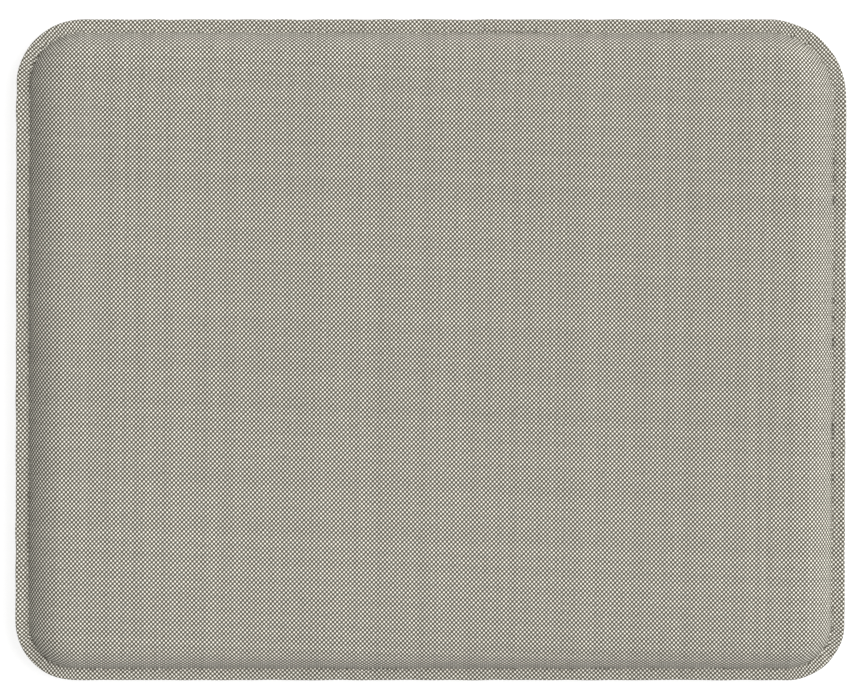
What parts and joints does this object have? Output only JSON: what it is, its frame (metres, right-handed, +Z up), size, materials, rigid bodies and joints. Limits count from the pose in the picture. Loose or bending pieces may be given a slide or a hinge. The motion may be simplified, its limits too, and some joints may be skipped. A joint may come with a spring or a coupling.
{
  "type": "kneeling pad",
  "caption": "Rectangular garden kneeling pad: foam in wadding, woven canvas cover with a flat stitched flange, and a zip in the underside.",
  "frame": {"origin": "below the middle of the pad, on the floor that its underside rests on", "axes": "+X along the pad's long side, +Y to the rear edge that the zip is near, +Z up through the kneeling face"},
  "size_m": [0.45, 0.36, 0.03],
  "materials": {
    "canvas": "matte",
    "thread": "matte",
    "foam": "matte",
    "wadding": "matte",
    "zip_tape": "matte",
    "zip_coil": "satin",
    "zip_steel": "satin",
    "label_cloth": "satin"
  },
  "bodies": {
    "pad": {"top_panel": "canvas", "bottom_panel_front": "canvas", "bottom_panel_rear": "canvas", "foam_core": "foam", "wadding_top": "wadding", "wadding_bottom": "wadding", "flange_needle_thread": "thread", "flange_bobbin_thread": "thread", "edge_seam_thread": "thread", "zip_tape_front": "zip_tape", "zip_tape_rear": "zip_tape", "zip_coil_front": "zip_coil", "zip_coil_rear": "zip_coil", "zip_bottom_stop": "zip_steel", "zip_top_stop_front": "zip_steel", "zip_top_stop_rear": "zip_steel", "zip_stitch_thread": "thread", "zip_bar_tack_left": "thread", "zip_bar_tack_right": "thread", "care_label": "label_cloth"},
    "zip_slider": {"zip_slider": "zip_steel"},
    "zip_pull": {"zip_pull": "zip_steel"}
  },
  "joints": [
    {"name": "zip_slide", "type": "slide", "parent": "pad", "child": "zip_slider", "axis": [-1, 0, 0], "range_m": [0, 0.304], "deforming": ["zip_coil_front", "zip_coil_rear", "zip_tape_front", "zip_tape_rear"]},
    {"name": "zip_pull_hinge", "type": "hinge", "parent": "zip_slider", "child": "zip_pull", "pos_m": [0.1515, 0.12, 0.00215], "axis": [0, -1, 0], "range_deg": [0, 180]}
  ]
}
